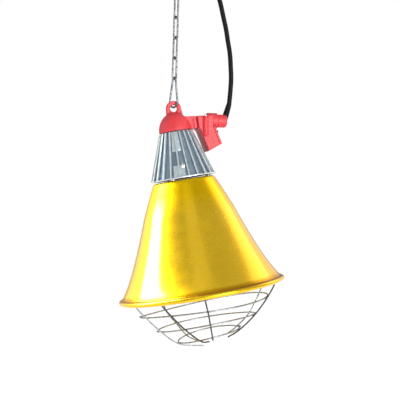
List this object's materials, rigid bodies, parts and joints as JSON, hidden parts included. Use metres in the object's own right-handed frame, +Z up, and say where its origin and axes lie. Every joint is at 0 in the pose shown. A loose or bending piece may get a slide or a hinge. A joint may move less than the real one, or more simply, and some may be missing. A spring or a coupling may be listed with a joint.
{
  "type": "heat lamp",
  "caption": "Hanging heat lamp: spun shade below a finned vent cone and a moulded cap with a switch arm, wire guard across the mouth, long-link chain and mains cord.",
  "frame": {"origin": "inside top of the S-hook's upper bend, where it rests on the rail that carries the lamp", "axes": "+Z up along the hanging chain, -Y towards the side with the switch arm's plain face, +X towards the switch arm"},
  "size_m": [0.2329, 0.2112, 0.6115],
  "materials": {
    "galvanised": "bright zinc-plated wire, slightly dulled",
    "cap_plastic": "glossy red heat-resistant moulding",
    "screw_steel": "bright zinc-plated screws",
    "switch_plastic": "black moulded switch",
    "seal_rubber": "black rubber",
    "cord_plastic": "black rubber cord, soft sheen",
    "plug_plastic": "black moulded plug",
    "block_plastic": "cream moulding",
    "brass_parts": "plain brass",
    "wire_brown": "brown wire insulation",
    "wire_black": "black wire insulation",
    "wire_blue": "blue wire insulation",
    "wire_sleeve": "white heat-resistant sleeving",
    "washer_board": "dark insulating board",
    "cast_aluminium": "silver cast fins, satin",
    "holder_ceramic": "white lamp-holder porcelain",
    "gold_aluminium": "gold anodised spun sheet, satin",
    "strap_fabric": "black hook-and-loop strap"
  },
  "bodies": {
    "hanger": {"s_hook": "galvanised"},
    "top_link": {"top_link": "galvanised"},
    "chain": {"chain_link_1": "galvanised", "chain_link_2": "galvanised", "chain_link_3": "galvanised", "chain_link_4": "galvanised", "chain_link_5": "galvanised", "chain_link_6": "galvanised", "chain_link_7": "galvanised", "chain_link_8": "galvanised", "pear_link": "galvanised", "cord_free": "cord_plastic", "cord_coil": "cord_plastic", "cord_tail": "cord_plastic", "chain_strap": "strap_fabric", "coil_tie": "strap_fabric", "plug_boot": "cord_plastic", "plug_body": "plug_plastic", "plug_pins": "brass_parts"},
    "lamp": {"head_cap": "cap_plastic", "switch_housing": "cap_plastic", "housing_screws": "screw_steel", "switch_cover": "cap_plastic", "cover_screws": "screw_steel", "switch_body": "switch_plastic", "gland_nut": "cap_plastic", "gland_seal": "seal_rubber", "cord_boot": "cord_plastic", "terminal_block": "block_plastic", "terminal_screws": "brass_parts", "live_wire": "wire_brown", "switched_wire": "wire_black", "neutral_wire": "wire_blue", "holder_leads": "wire_sleeve", "heat_washer": "washer_board", "cap_screws": "screw_steel", "vent_cone": "cast_aluminium", "holder_bracket": "galvanised", "bracket_screws": "screw_steel", "holder_body": "holder_ceramic", "screw_shell": "brass_parts", "centre_contact": "brass_parts", "holder_screws": "brass_parts", "shade_spacers": "screw_steel", "shade_screws": "screw_steel", "reflector": "gold_aluminium"},
    "rocker": {"rocker": "switch_plastic"},
    "guard": {"guard_ring_1": "galvanised", "guard_ring_2": "galvanised", "guard_ring_3": "galvanised", "guard_leg_1": "galvanised", "guard_leg_2": "galvanised", "guard_leg_3": "galvanised", "guard_leg_4": "galvanised", "guard_leg_5": "galvanised", "guard_leg_6": "galvanised", "ring_laps": "galvanised"}
  },
  "joints": [
    {"name": "top_link_swing", "type": "hinge", "parent": "hanger", "child": "top_link", "pos_m": [0, 0, -0.0414], "axis": [0.7071, -0.7071, 0], "range_deg": [-30, 30]},
    {"name": "chain_swing", "type": "hinge", "parent": "top_link", "child": "chain", "pos_m": [-0.00083, 0, -0.06664], "axis": [0.7071, 0.7071, 0], "range_deg": [-30, 30]},
    {"name": "lamp_swing", "type": "hinge", "parent": "chain", "child": "lamp", "pos_m": [-0.00799, 0, -0.30763], "axis": [0.2387, -0.9703, 0.0391], "range_deg": [0, 25], "deforming": ["cord_free"]},
    {"name": "guard_pull", "type": "slide", "parent": "lamp", "child": "guard", "axis": [0.1616, 0, -0.9869], "range_m": [0, 0.05]},
    {"name": "rocker_press", "type": "hinge", "parent": "lamp", "child": "rocker", "pos_m": [0.045, 0.01163, -0.34403], "axis": [0.2387, -0.9703, 0.0391], "range_deg": [0, 20]}
  ]
}
